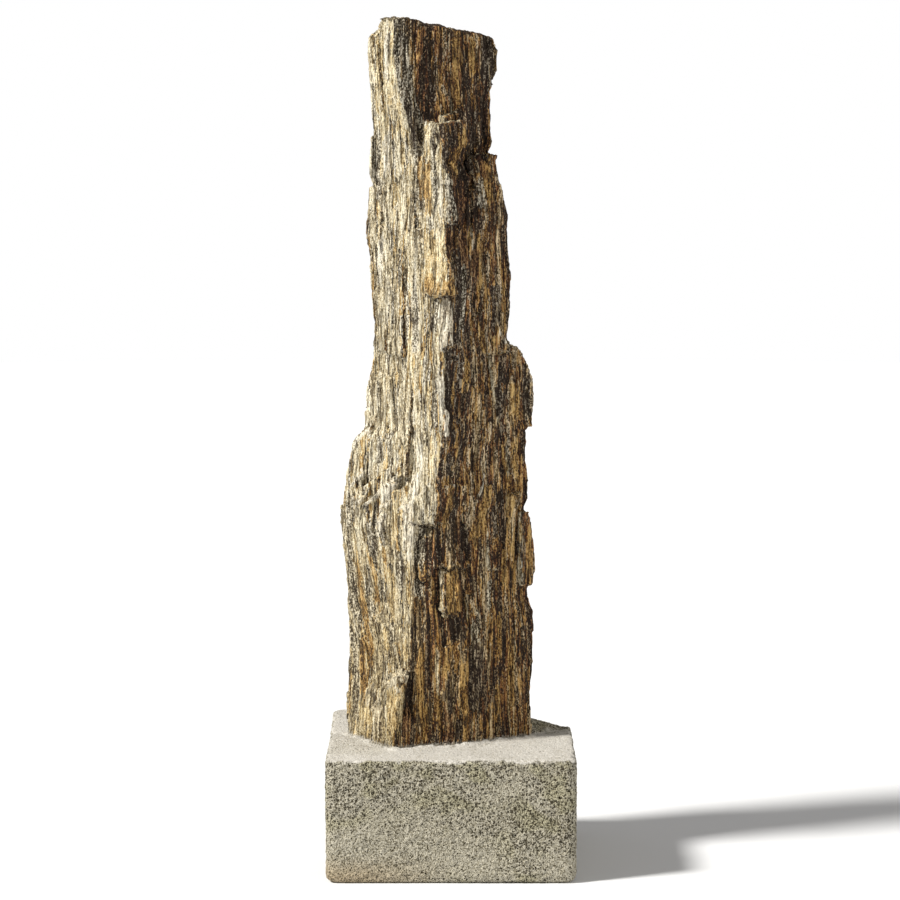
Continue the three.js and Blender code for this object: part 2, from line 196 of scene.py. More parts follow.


# ------------------------------------------------------------------ the stone's surface


# The layers that show on the front, each a strip along the grain: x and z of its lower end, x and z of its
# upper end, and its width. The black and rust strips that lie in the hollows and under the slabs are partly
# painted shade.
STRIPS = {
    "cream": [
        (-12, 661, -12, 695, 6), (-6, 532, -6, 579, 11), (-8, 448, -9, 507, 6), (-41, 318, -39, 397, 9),
        (-70, 346, -67, 372, 6), (-35, 402, -35, 437, 6), (-64, 700, -66, 760, 7),
        (-74, 596, -72, 640, 6), (-65, 760, -68, 845, 5), (9, 512, -8, 530, 5),
        (-72, 186, -46, 205, 12), (-93, 160, -75, 182, 5), (-71, 138, -71, 172, 9),
        (-58, 186, -53, 196, 12), (-88, 367, -54, 399, 5), (-52, 367, -25, 393, 5),
        (-104, 425, -86, 446, 5), (-107, 378, -88, 401, 5), (-70, 345, -66, 390, 5),
        (-44, 352, -38, 384, 7),
    ],
    "grey": [
        (-31, 661, -37, 745, 8), (-18, 706, -18, 742, 5), (-17, 671, -17, 695, 5),
        (-2, 654, -2, 695, 9), (29, 667, 29, 694, 9), (10, 546, 10, 625, 4), (-16, 547, -16, 576, 8),
        (-36, 527, -37, 586, 7), (-17, 448, -17, 491, 4), (-101, 255, -101, 376, 6),
        (-97, 140, -98, 300, 8), (-83, 233, -83, 305, 5), (-79, 137, -79, 172, 5),
        (-75, 310, -74, 360, 6), (-65, 397, -66, 440, 6), (-76, 402, -76, 440, 5),
        (-78, 800, -78, 838, 6), (-63, 820, -63, 850, 5), (-75, 675, -75, 752, 6),
        (-31, 275, -31, 350, 12), (40, 262, 40, 290, 6), (25, 232, 24, 256, 8), (-50, 285, -46, 322, 8),
        (-58, 225, -58, 262, 5),
    ],
    "straw": [
        (-73, 765, -77, 840, 6), (-60, 775, -61, 850, 5), (-25, 716, -25, 748, 6),
        (-21, 397, -21, 437, 7), (-23, 448, -24, 491, 4), (-66, 740, -66, 795, 6),
        (-57, 250, -60, 300, 7), (-56, 330, -55, 375, 5), (-95, 320, -96, 342, 6),
        (-55, 138, -55, 184, 12), (-87, 138, -88, 164, 11), (-46, 210, -45, 235, 5),
        (-52, 744, -52, 768, 6), (-45, 660, -45, 682, 6), (-16, 596, -17, 640, 22),
    ],
    "ochre": [
        (-14, 580, -15, 598, 25), (-31, 676, -31, 716, 7), (-24, 661, -25, 711, 8), (6, 702, 8, 745, 7),
        (37, 672, 37, 718, 8), (16, 622, 16, 660, 5), (27, 600, 26, 641, 3), (25, 577, 29, 600, 5),
        (54, 546, 47, 620, 4), (30, 527, 29, 552, 6), (43, 524, 42, 542, 5), (10, 490, 12, 522, 5),
        (1, 467, 1, 495, 3), (6, 397, 2, 438, 4), (23, 457, 21, 482, 4), (65, 453, 62, 486, 10),
        (64, 320, 52, 425, 5), (66, 377, 62, 435, 6), (68, 276, 66, 320, 4), (82, 300, 82, 345, 5),
        (32, 340, 35, 390, 9), (24, 330, 26, 346, 9), (-4, 346, -4, 392, 6), (3, 260, 3, 308, 13),
        (-18, 208, -17, 290, 6), (-4, 198, -3, 228, 8), (12, 160, 13, 211, 10), (49, 208, 50, 254, 5),
        (63, 160, 62, 229, 6), (48, 136, 50, 178, 9), (76, 134, 75, 157, 6), (-32, 160, -31, 225, 8),
        (-27, 137, -27, 168, 9), (-9, 137, -13, 172, 6), (14, 130, 14, 158, 5), (-27, 291, -26, 310, 6),
        (-88, 250, -94, 312, 7), (-80, 215, -88, 250, 6), (-73, 262, -77, 312, 5),
        (-90, 166, -90, 222, 5), (4, 775, 4, 852, 5), (20, 800, 20, 838, 8), (46, 800, 46, 830, 4),
        (57, 275, 54, 326, 4),
    ],
    "rust": [
        (-3, 626, -3, 654, 12), (12, 655, 13, 697, 13), (22, 600, 21, 626, 10), (10, 616, 11, 652, 9),
        (9, 330, 9, 361, 4), (-1, 229, -4, 258, 4), (-45, 137, -44, 170, 8), (-3, 128, -3, 174, 9),
        (74, 138, 74, 176, 7), (-9, 812, -9, 838, 4), (-19, 210, -19, 262, 4), (29, 800, 29, 835, 5),
        (33, 700, 32, 760, 5),
    ],
    "black": [
        (-20, 548, -20, 574, 4), (-15, 730, -15, 747, 8), (-4, 706, -4, 752, 9), (33, 724, 34, 745, 12),
        (20, 698, 19, 718, 10), (4, 532, 4, 625, 8), (46, 546, 42, 592, 8), (-3, 463, -3, 528, 6),
        (5, 463, 5, 516, 5), (-3, 397, -1, 460, 5), (5, 400, 8, 462, 5), (48, 457, 47, 507, 6),
        (60, 502, 60, 527, 8), (76, 455, 75, 515, 7), (15, 315, 15, 345, 6), (4, 330, 4, 382, 7),
        (49, 330, 47, 377, 9), (4, 234, 3, 256, 8), (52, 134, 52, 148, 12), (25, 157, 25, 230, 14),
        (-43, 170, -42, 196, 10), (-39, 193, -35, 255, 5), (0, 157, -1, 193, 7), (7, 130, 6, 155, 6),
        (-12, 312, -11, 350, 4), (-36, 733, -43, 775, 8), (35, 790, 36, 838, 12), (18, 706, 22, 766, 8),
        (-20, 775, -16, 820, 6),
    ],
}
# The speckled band to the right of the arris at the head, as height, left and right edge.
HEAD_BAND = [
    (700, -30, -24), (738, -37, -25), (760, -44, -30), (783, -50, -35), (815, -57, -40),
    (860, -58, -44),
]
# Hollows, as strips with a depth at the end.
HOLLOWS = [
    (12, 652, 13, 698, 15, 4.0), (20, 700, 20, 718, 15, 2.5), (-3, 618, -3, 653, 13, 3.0),
    (0, 462, 0, 524, 13, 2.2), (15, 318, 15, 345, 7, 2.0), (4, 230, 3, 256, 10, 1.5),
    (-43, 160, -42, 197, 9, 5.0), (33, 722, 34, 744, 12, 3.0), (-31, 285, -31, 348, 10, 1.5),
    (61, 308, 61, 370, 11, -2.6), (20, 262, 20, 310, 7, -1.6),
]
# Broken edges on the front: how far the stone stands out beside the edge, how far off it thins out, the side
# that stands out (1 above the edge, -1 below it), and the edge from left to right as x and z.
BROKEN_EDGES = [
    (9.0, 60, -1, [(-86, 368), (-79, 376), (-72, 383), (-66, 390), (-60, 396), (-54, 399)]),
    (5.0, 45, -1, [(-107, 378), (-100, 387), (-93, 396), (-88, 401)]),
    (5.0, 45, -1, [(-96, 364), (-89, 375), (-83, 386)]),
    (5.5, 38, -1, [(-72, 346), (-69, 359), (-64, 369), (-60, 374)]),
    (7.5, 50, -1, [(-52, 367), (-42, 373), (-35, 379), (-29, 384), (-26, 389), (-24, 393)]),
    (4.0, 50, -1, [(-104, 425), (-98, 431), (-92, 440), (-86, 446)]),
    (9.0, 60, -1, [(-90, 164), (-81, 175), (-74, 183), (-66, 190), (-60, 197), (-51, 203), (-43, 206)]),
    (2.0, 60, -1, [(-10, 696), (-4, 698), (4, 697)]),
    (2.2, 50, -1, [(-9, 391), (-5, 393), (1, 392)]),
    (1.0, 50, -1, [(-5, 307), (3, 309), (10, 309)]),
    (1.8, 30, -1, [(42, 552), (47, 545), (52, 537), (55, 528)]),
    (2.4, 55, -1, [(20, 360), (26, 378), (31, 398), (35, 420)]),
    (7.0, 60, 1, [(-27, 585), (-21, 582), (-12, 582), (-2, 584)]),
    (3.4, 40, 1, [(-8, 530), (-3, 526), (1, 522), (5, 516), (9, 513)]),
    (2.4, 40, 1, [(-10, 650), (-4, 654), (4, 652)]),
    (2.0, 30, 1, [(-39, 354), (-30, 352), (-23, 349), (-13, 348)]),
    (2.4, 30, 1, [(-31, 297), (-27, 292), (-22, 299), (-14, 301)]),
    (2.0, 45, 1, [(-12, 270), (-6, 261), (0, 258), (5, 258), (10, 262)]),
    (2.6, 30, 1, [(10, 345), (19, 345)]),
    (4.0, 50, 1, [(-17, 306), (-9, 309), (-2, 304), (6, 308), (13, 303), (21, 307)]),
]
# By height, how far the stone reaches beyond its plain shape on its left and on its right.
REACH_LEFT = [
    (110, 0), (290, 1), (310, 3), (350, 2), (370, -0.5), (395, -1.5), (410, -3), (450, -3), (480, 0),
    (580, 0), (622, -3), (690, -3), (700, 0), (780, 0), (800, -2), (830, -3), (845, -5),
]
REACH_RIGHT = [
    (110, 0), (255, 1), (270, -2), (340, -2), (358, -3), (372, 3), (390, 3), (410, 1), (443, 5),
    (455, 2), (500, 4), (520, 3), (540, 0), (575, 2.5), (640, 1), (660, 2.5), (690, -3), (712, -5),
    (722, -2), (734, 3), (780, 3), (810, 0),
]


def strip(points, low_x, low_z, high_x, high_z, width):
    """1 inside a strip along the grain as seen from the front, falling to 0 over its edge."""
    x, _, z = points.T
    middle = low_x + (high_x - low_x) * np.clip((z - low_z) / (high_z - low_z), 0, 1)
    off = np.abs(x - middle)
    inside = smooth(width / 2 + 1.2, width / 2 - 0.8, off)
    return inside * smooth(low_z - 4, low_z + 2, z) * smooth(high_z + 4, high_z - 2, z)


def beside_edge(points, stand, fade, side, edge):
    """How far the stone stands out above or below a broken edge. Also gives 1 on the crest of stone that
    stands out below its edge, where the finish paints a highlight, and 1 in a line under stone that stands
    out above its edge, where it paints a shadow."""
    x, _, z = points.T
    across, heights = zip(*edge)
    away = side * (z - np.interp(x, across, heights))
    inside = smooth(across[0] - 1, across[0] + 1.5, x) * smooth(across[-1] + 1, across[-1] - 1.5, x)
    rise = smooth(-0.6, 0.6, away) if side > 0 else smooth(-2.0, 1.6, away)
    crest = inside * smooth(-2, 0, away) * smooth(6, 3, away) * (side < 0)
    painted_shadow = inside * smooth(-4, -2.5, away) * smooth(0.8, -0.4, away) * (side > 0)
    away = np.maximum(away, 0)
    fall = 0.5 * np.exp(-away / 8) + 0.5 * np.exp(-away / fade) if side < 0 else np.exp(-away / fade)
    return stand * inside * rise * fall, crest, painted_shadow


def by_height(z, table):
    """The table's second value at each height."""
    heights, values = zip(*table)
    return np.interp(z, heights, values)


# The stone's faces across and along the grain, in metres.
STONE_FACE = (1.0 * MM, 1.8 * MM)
# Heights over which the stone comes out of its foot, turns into its head and rounds off to its crest.
OUT_OF_FOOT = (112, 121)
INTO_HEAD = (690, 730)
TO_CREST = (825, 848)
# The grain's drifts from side to side: how far, over what lengths, and the seeds.
DRIFTS = [(3.4, (45, 45, 100), (1, 2)), (2.0, (17, 17, 46), (3, 4)), (0.7, (7, 7, 16), (5, 6))]
# Splinters of four sizes: their width, their length and a seed.
LARGE_SPLINTER = (15, 95, 20)
MEDIUM_SPLINTER = (7.5, 80, 30)
SMALL_SPLINTER = (4.0, 34, 40)
CHIP = (2.4, 13, 45)


def sideways(points, size, seeds):
    """A drift to the side from -1 to 1 at each point, with no part along the grain."""
    drift_x, drift_y = (noise(points, size, seed) for seed in seeds)
    return np.stack([drift_x, drift_y, np.zeros(len(points))], axis=1)


def ribs(points, grain, flat):
    """The relief along the grain, and its tone for the finish, which is painted shade: 0, darkest, in the
    grooves, 1 on the ribs.
    """
    large, large_groove = splinters(grain, *LARGE_SPLINTER)
    medium, medium_groove = splinters(grain, *MEDIUM_SPLINTER)
    small, small_groove = splinters(grain, *SMALL_SPLINTER)
    chips, _ = splinters(grain, *CHIP)
    fibres = 0.8 * np.abs(noise(grain, (2.3, 2.3, 16), 13)) + 0.5 * noise(points, (2.0, 2.0, 2.6), 14)
    broad = 2.3 * large - 1.2 * large_groove + noise(points, (26, 26, 120), 15) - 1.6
    fine = 2.0 * medium - 1.1 * medium_groove + 1.3 * small - 1.2 * small_groove
    relief = (broad + fine) * (1 - flat) + fibres + 0.8 * chips
    tone = 0.37 + 0.16 * (fine + 1.2 * fibres + chips - 1.3 * large_groove - 1.1)
    return relief, tone


def layers_on_front(grain, ragged, z):
    """How far each mineral's layers show on the front."""
    shown = {}
    for mineral, rows in STRIPS.items():
        shown[mineral] = np.clip(sum(strip(ragged, *row) for row in rows), 0, 1)
    band = smooth(-1.5, 1.5, grain[:, 0] - by_height(z, [row[:2] for row in HEAD_BAND]))
    band *= smooth(2.5, -1.5, grain[:, 0] - by_height(z, [row[::2] for row in HEAD_BAND]))
    shown["grey"] = np.maximum(shown["grey"], band * smooth(690, 720, z))
    return shown


def split_stone():
    """The pillar: ribbed and splintered along its grain, with every break ending in a small ledge."""
    piece = merged_copy("gneiss_pillar", "gneiss_pillar_stone")
    remesh(piece, *STONE_FACE)
    points, facing = points_of(piece)
    x, y, z = points.T
    front = smooth(0.1, -0.3, facing[:, 1])

    # The grain wanders a little from side to side on its way up, and leans over at the lower left.
    wander = sum(reach * sideways(points, size, seeds) for reach, size, seeds in DRIFTS)
    wander *= (1 - 0.5 * smooth(*INTO_HEAD, z))[:, None]
    lean = 0.2 * (np.clip(z, 215, 345) - 345) * smooth(-30, -75, x) * smooth(40, -20, y)
    wander[:, 0] += lean
    grain = points + wander

    # The split side has deep relief. The stained side, to the right of the arris, is flatter low down.
    right_turned = smooth(-0.1, 0.35, facing[:, 0]) * smooth(0.3, -0.1, facing[:, 1])
    relief, tone = ribs(points, grain, 0.35 * right_turned * smooth(380, 300, z))

    # Layers and hollows end raggedly: each thread of stone is shifted up or down by its own amount.
    thread, _, _, _ = cells(grain, (2.6, 2.6, TALL), 50)
    ragged = points + 0.6 * (grain - points)
    ragged[:, 0] -= 0.6 * lean
    ragged[:, 2] += 14 * (thread - 0.5)
    shown = {mineral: share * front for mineral, share in layers_on_front(grain, ragged, z).items()}
    hollow = sum(depth * strip(ragged, *row) for *row, depth in HOLLOWS) * front
    rises, crests, painted_shadows = zip(*(beside_edge(points + 0.5 * wander, *edge) for edge in BROKEN_EDGES))
    crest = np.clip(sum(crests), 0, 1) * front
    painted_shadow = np.clip(sum(painted_shadows), 0, 1) * front
    relief += sum(rises) * front - hollow + crest * noise(points, (4, 4, 9), 17)
    # Painted highlight: the crests are coloured pale cream, partly as freshly broken stone and partly as the
    # light that catches them.
    shown["cream"] = np.maximum(shown["cream"], crest)
    # Painted shadow: the line under each overhang is coloured as a black layer.
    shown["black"] = np.maximum(shown["black"], painted_shadow)
    relief += 0.5 * shown["cream"] + 0.7 * shown["ochre"] - 1.3 * shown["black"] - 0.3 * shown["grey"]

    # Splinters stand out sideways more than upwards, and the buried end is left plain.
    bare = smooth(*OUT_OF_FOOT, z)
    moved = points + facing * np.array([1, 1, 0.6]) * (relief * bare)[:, None]
    moved[:, 0] += by_height(z, REACH_RIGHT) * smooth(0.1, 0.7, facing[:, 0]) * bare
    moved[:, 0] -= by_height(z, REACH_LEFT) * smooth(0.1, 0.7, -facing[:, 0]) * bare
    # The head is worn down to the right of its left corner, and so is the ledge on the right.
    moved[:, 2] -= 2.0 * smooth(*TO_CREST, z) * smooth(-45, -25, x)
    moved[:, 2] -= 3.0 * smooth(54, 61, x) * smooth(518, 530, z) * smooth(550, 540, z)
    move_points(piece, moved)

    # The stored relief tone is painted shade: darker in the grooves and hollows, and on the faces turned up
    # at the top of the head.
    upmost = smooth(0.3, 0.8, facing[:, 2]) * smooth(820, 835, z)
    store(piece, "relief", np.clip(tone - 0.1 * hollow - 0.6 * upmost, -0.6, 1))
    # How far the stone is stained: none on the split side, most on the side to the right of the arris.
    store(piece, "stained", smooth(-0.15, 0.3, facing[:, 0] + 0.15 * noise(points, (16, 16, 120), 16)))
    for mineral, share in shown.items():
        store(piece, mineral, share)
    store(piece, "drift_x", wander[:, 0])
    store(piece, "drift_y", wander[:, 1])
    thin_out(piece)
    return piece


# ------------------------------------------------------------------ the concrete's surface


# The foot's faces, in metres.
FOOT_FACE = 1.15 * MM
# Half the foot's width and half its depth, and its height.
FOOT_HALF = np.array([125.0, 117.5])
FOOT_HEIGHT = 125
# The middles of the closed patches on the foot's front and back, as x and z.
CLOSED_PATCHES = [(-98, 42), (-72, 28), (-28, 38), (8, 24), (60, 88), (112, 20)]


def distance_to_stone(points):
    """How far each point near the stone is from it, and a full metre for those farther off."""
    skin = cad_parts["gneiss_pillar"].data
    stone = BVHTree.FromPolygons([v.co for v in skin.vertices], [f.vertices for f in skin.polygons])
    return np.array([stone.find_nearest(Vector(p * MM), 9 * MM)[3] or 1.0 for p in points]) / MM


def crowding(points):
    """Where the sides are full of pores, from 0 to 1. They are closed in patches, most of them low down."""
    x, _, z = points.T
    patch = noise(points, 38, 5) + 0.5 * noise(points, 14, 6)
    closed = sum(np.exp(-((x - across) / 30) ** 2 - ((z - up) / 20) ** 2) for across, up in CLOSED_PATCHES)
    return smooth(-1.1, 0.1, 0.8 * patch + 0.006 * (z - 60) - 1.2 * closed)


def pitting(points, crowded):
    """How deep the pores are, and the few larger holes."""
    _, to_pore, _, _ = cells(points, 3.9, 50)
    size, to_hole, _, _ = cells(points, 9, 60)
    pores = 0.9 * (1 - smooth(0.12, 0.36, to_pore))
    holes = 2.2 * (1 - smooth(0.06, 0.16 + 0.1 * size, to_hole))
    return np.maximum(pores * crowded, holes * (0.35 + 0.65 * crowded))


def trowelling(points, facing, from_side):
    """Where the top is trowelled smooth, from 0 to 1. Its lip is ragged, and it is rough only at the left of
    the stone and on the heap behind it."""
    x, y, z = points.T
    blotch = 12 * noise(points, 15, 10) + 5 * noise(points, 5, 12)
    left = smooth(-50, -84, x + blotch) * smooth(-94, -84, y + 0.4 * blotch)
    left *= smooth(26, 16, y + 0.5 * blotch)
    heap = smooth(22, 40, y + blotch) * smooth(5, 45, x + blotch)
    lip = 1.3 * noise(points, (13, 13, 6), 13) + 1.1 * noise(points, 3.2, 14)
    inside = from_side + 1.2 * lip + (facing[:, 2] < 0.5)
    pale = smooth(121.5, 124.0, z + lip) * smooth(-0.5, 2.0, inside)
    return pale * (1 - np.clip(0.14 * left + heap, 0, 1))


def cast_block():
    """The foot: pitted sides, a trowelled top, and mortar close round the stone."""
    piece = merged_copy("concrete_foot", "concrete_foot_block")
    remesh(piece, FOOT_FACE, FOOT_FACE)
    points, facing = points_of(piece)
    x, y, z = points.T
    under = smooth(0.5, 0.8, -facing[:, 2])
    from_side = np.minimum(FOOT_HALF[0] - np.abs(x), FOOT_HALF[1] - np.abs(y))

    waves = 0.5 * noise(points, 34, 1) + 0.3 * noise(points, 12, 2)
    rough = 0.5 * noise(points, 3.8, 3) + 0.5 * noise(points, 2.5, 4)
    crowded = crowding(points)
    pitted = pitting(points, crowded)
    trowelled = trowelling(points, facing, from_side)
    relief = waves + (rough - pitted) * (1 - 0.9 * trowelled) + 0.25 * rough * trowelled
    relief -= 0.5 * pitted * trowelled * (noise(points, 24, 7) > 0.25)

    # Edges are chipped here and there.
    top_edge = 1 - smooth(1, 7, np.abs(z - FOOT_HEIGHT))
    bottom_edge = 1 - smooth(1, 8, z)
    edge = (1 - smooth(1, 7, from_side)) * np.maximum(top_edge, bottom_edge)
    relief -= 2.2 * edge * smooth(0.1, 0.9, noise(points, 11, 8) + 0.4 * noise(points, 4, 9))

    # Mortar was smeared up against the stone and left in crumbs.
    near = distance_to_stone(points)
    smear = 1.6 + 1.8 * noise(points, 7, 15) + noise(points, 3, 16)
    heaped = np.maximum(smear, 0) * smooth(8, 1.5, near) * smooth(120, 123, z)

    # The socket's wall is moved into the stone, where it is hidden, so that mortar closes up to the stone.
    at_socket = 1 - smooth(1.0, 1.8, near)
    moved = points + facing * (relief * (1 - at_socket) * (1 - under))[:, None]
    moved[:, 2] += heaped
    moved += facing * np.array([1, 1, 0]) * (5.0 * at_socket * (z > 100))[:, None]
    move_points(piece, moved)
    store(piece, "pits", np.clip(pitted / 1.6, 0, 1))
    store(piece, "crowded", crowded)
    store(piece, "trowelled", trowelled)
    thin_out(piece)
    return piece


# ------------------------------------------------------------------ finishes


class Socket:
    """A value or vector in a finish. Arithmetic on it adds Math nodes."""

    def __init__(self, finish, socket):
        self.finish = finish
        self.socket = socket

    def math(self, operation, other):
        return self.finish.math(operation, self, other)

    def __add__(self, other):
        return self.math("ADD", other)

    def __sub__(self, other):
        return self.math("SUBTRACT", other)

    def __rsub__(self, other):
        return self.finish.math("SUBTRACT", other, self)

    def __mul__(self, other):
        return self.math("MULTIPLY", other)

    __radd__ = __add__
    __rmul__ = __mul__

    def between(self, low, high):
        """0 below low, 1 above high, and smooth between."""
        inputs = {"Value": self, "From Min": low, "From Max": high}
        return self.finish.node("ShaderNodeMapRange", {"interpolation_type": "SMOOTHSTEP"}, inputs)


class Finish:
    """A procedural material, built up node by node."""

    def __init__(self, name):
        self.material = bpy.data.materials.new(name)
        self.material.use_nodes = True
        self.tree = self.material.node_tree
        self.shader = self.tree.nodes["Principled BSDF"]
        place = self.node("ShaderNodeTexCoord", output="Object")
        self.place = self.vector("SCALE", place, scale=1 / MM)

    def node(self, kind, settings=None, inputs=None, output=0):
        node = self.tree.nodes.new(kind)
        for name, value in (settings or {}).items():
            if name == "stops":
                set_stops(node.color_ramp, value)
            else:
                setattr(node, name, value)
        for name, value in (inputs or {}).items():
            self.feed(node.inputs[name], value)
        return Socket(self, node.outputs[output])

    def feed(self, target, value):
        """Links a varying value to an input, or sets a constant on it."""
        if isinstance(value, Socket):
            self.tree.links.new(value.socket, target)
        else:
            target.default_value = value

    def math(self, operation, first, second):
        return self.node("ShaderNodeMath", {"operation": operation}, {0: first, 1: second})

    def vector(self, operation, first, second=None, scale=None):
        inputs = {0: first}
        if second is not None:
            inputs[1] = second
        if scale is not None:
            inputs["Scale"] = scale
        return self.node("ShaderNodeVectorMath", {"operation": operation}, inputs)

    def noise(self, place, size, detail=2.0, rough=0.5):
        """Noise from 0 to 1 whose grain has the given size in millimetres along x, y and z."""
        shrunk = self.vector("DIVIDE", place, size)
        inputs = {"Vector": shrunk, "Scale": 1.0, "Detail": detail, "Roughness": rough}
        return self.node("ShaderNodeTexNoise", {"noise_dimensions": "3D"}, inputs)

    def noise_vector(self, place, size):
        """Three unlike drifts from about -0.25 to 0.25 at once."""
        shrunk = self.vector("DIVIDE", place, size)
        inputs = {"Vector": shrunk, "Scale": 1.0, "Detail": 1.0}
        drift = self.node("ShaderNodeTexNoise", {"noise_dimensions": "3D"}, inputs, output="Color")
        return self.vector("SUBTRACT", drift, (0.5, 0.5, 0.5))

    def layers(self, place, size):
        """A number from 0 to 1 for each of many drawn-out cells of the given size."""
        shrunk = self.vector("DIVIDE", place, size)
        inputs = {"Vector": shrunk, "Scale": 1.0}
        cell = self.node("ShaderNodeTexVoronoi", {"feature": "F1"}, inputs, output="Color")
        return self.node("ShaderNodeSeparateColor", None, {"Color": cell})

    def cracks(self, place, size):
        """Distance to the nearest border between cells of the given size, in shares of a cell."""
        shrunk = self.vector("DIVIDE", place, size)
        inputs = {"Vector": shrunk, "Scale": 1.0}
        return self.node("ShaderNodeTexVoronoi", {"feature": "DISTANCE_TO_EDGE"}, inputs, output="Distance")

    def specks(self, place, spacing):
        """Distance to the nearest of many scattered points, in shares of their spacing, and its number."""
        shrunk = self.vector("SCALE", place, scale=1 / spacing)
        nearest = self.node("ShaderNodeTexVoronoi", {"feature": "F1"}, {"Vector": shrunk, "Scale": 1.0})
        colour = Socket(self, nearest.socket.node.outputs["Color"])
        return nearest, self.node("ShaderNodeSeparateColor", None, {"Color": colour})

    def ramp(self, value, stops):
        return self.node("ShaderNodeValToRGB", {"stops": stops}, {"Fac": value})

    def mix(self, share, first, second, blend="MIX"):
        settings = {"data_type": "RGBA", "blend_type": blend}
        return self.node("ShaderNodeMix", settings, {0: share, 6: first, 7: second}, output=2)

    def tint(self, share, colour, tint):
        """The colour, multiplied by a tint to the given share."""
        return self.mix(share, colour, self.mix(1.0, colour, (*tint, 1.0), "MULTIPLY"))

    def attribute(self, name):
        return self.node("ShaderNodeAttribute", {"attribute_name": name}, output="Fac")

    def along(self, axis):
        """The place along X, Y or Z in millimetres."""
        return self.node("ShaderNodeSeparateXYZ", None, {"Vector": self.place}, output=axis)

    def bump(self, height, depth):
        inputs = {"Height": height, "Distance": depth, "Strength": 1.0}
        self.feed(self.shader.inputs["Normal"], self.node("ShaderNodeBump", None, inputs))


def set_stops(ramp, stops):
    while len(ramp.elements) < len(stops):
        ramp.elements.new(1.0)
    for element, (position, colour) in zip(ramp.elements, stops):
        element.position = position
        element.color = (*colour, 1.0)


# Each mineral's colours from its darkest grain to its lightest, as linear light.
MINERALS = {
    "feldspar": [(0.0, (0.12, 0.087, 0.045)), (0.42, (0.54, 0.445, 0.27)), (0.95, (0.97, 0.89, 0.68))],
    "cream": [(0.0, (0.16, 0.125, 0.08)), (0.35, (0.66, 0.57, 0.41)), (0.9, (1.0, 0.94, 0.78))],
    "grey": [(0.05, (0.036, 0.025, 0.013)), (0.48, (0.232, 0.196, 0.130)), (0.95, (0.86, 0.80, 0.65))],
    "straw": [(0.0, (0.12, 0.08, 0.03)), (0.42, (0.62, 0.455, 0.215)), (0.95, (0.95, 0.83, 0.55))],
    "ochre": [(0.0, (0.06, 0.031, 0.010)), (0.45, (0.42, 0.255, 0.085)), (1.0, (0.80, 0.60, 0.29))],
    "rust": [(0.05, (0.030, 0.011, 0.005)), (0.50, (0.18, 0.080, 0.030)), (0.95, (0.50, 0.30, 0.14))],
    "black": [(0.10, (0.021, 0.011, 0.005)), (0.60, (0.068, 0.044, 0.025)), (1.0, (0.40, 0.35, 0.27))],
}
SPECKLED = ("grey", "black")
STAIN = (0.88, 0.68, 0.46)
GOLDEN = (1.0, 0.86, 0.60)
SOIL = (0.88, 0.84, 0.75)
CRACK_SHADE = (0.030, 0.016, 0.006)
MORTAR_DUST = (0.55, 0.52, 0.45)
# The sizes of the layers and fibres, across and along the grain.
BROAD_LAYER = (7.0, 7.0, 150)
THIN_LAYER = (2.7, 2.7, 50)
FIBRE = (3.4, 3.4, 55)
THREAD = (1.9, 1.9, 20)


